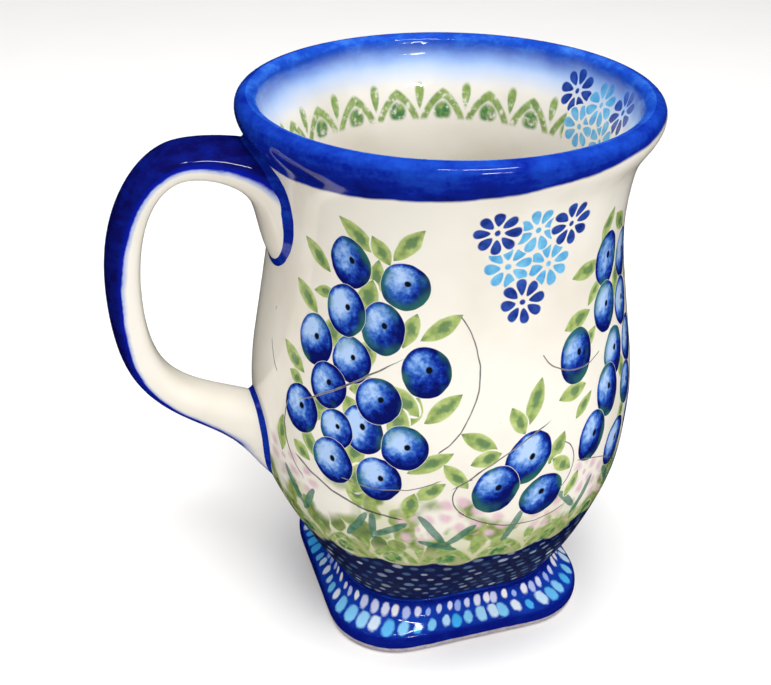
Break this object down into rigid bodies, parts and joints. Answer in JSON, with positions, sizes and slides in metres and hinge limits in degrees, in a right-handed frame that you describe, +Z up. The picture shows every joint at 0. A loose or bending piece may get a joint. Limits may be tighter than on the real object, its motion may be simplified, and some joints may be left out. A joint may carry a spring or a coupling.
{
  "type": "stoneware mug",
  "caption": "Hand-painted stoneware mug with a waisted round cup, flared rim, rounded square foot and loop handle, for hot drinks",
  "frame": {"origin": "the centre of the foot's resting face, on the cup's own axis", "axes": "+Z up along the cup's axis, handle along -X, painted front along -Y, sides of the square foot along X and Y"},
  "size_m": [0.1199, 0.09, 0.127],
  "materials": {
    "painted_cream_glaze": "clear gloss over cream slip with underglaze painting",
    "foot_blue_glaze": "clear gloss over cobalt underglaze, bare clay at the resting edge",
    "foot_seam_glaze": "clear gloss over cobalt underglaze",
    "handle_cobalt_glaze": "clear gloss, cobalt outside fading to cream inside",
    "upper_seam_glaze": "clear gloss over a cobalt brush line",
    "lower_seam_glaze": "clear gloss over a cobalt brush line"
  },
  "bodies": {
    "root": {"cup_body": "painted_cream_glaze", "square_foot": "foot_blue_glaze", "foot_slip": "foot_seam_glaze", "handle": "handle_cobalt_glaze", "upper_handle_slip": "upper_seam_glaze", "lower_handle_slip": "lower_seam_glaze"}
  },
  "joints": []
}
